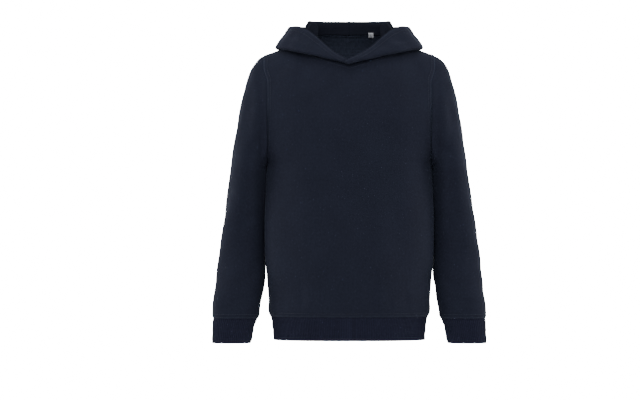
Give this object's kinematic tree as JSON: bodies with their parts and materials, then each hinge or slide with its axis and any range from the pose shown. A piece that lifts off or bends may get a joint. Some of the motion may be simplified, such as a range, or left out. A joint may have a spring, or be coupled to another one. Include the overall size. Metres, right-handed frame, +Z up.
{
  "type": "toddler hoodie",
  "caption": "Plain navy toddler's pullover hoodie with ribbed cuffs and hem, filled out with the hood hanging down the back.",
  "frame": {"origin": "middle of the neck opening at the height of the high points of the shoulders, where the hoodie is held", "axes": "+Z up, -Y towards the front, +X towards the wearer's left"},
  "size_m": [0.4128, 0.1871, 0.483],
  "materials": {
    "fleece": "matt brushed cotton fleece, navy",
    "rib": "matt knitted cotton rib, navy",
    "label": "woven polyester, white, slightly shiny"
  },
  "bodies": {
    "root": {"front": "fleece", "back": "fleece", "sleeve_left": "fleece", "sleeve_right": "fleece", "hem_rib": "rib", "cuff_left": "rib", "cuff_right": "rib", "hood_left": "fleece", "hood_right": "fleece", "size_label": "label"}
  },
  "joints": []
}
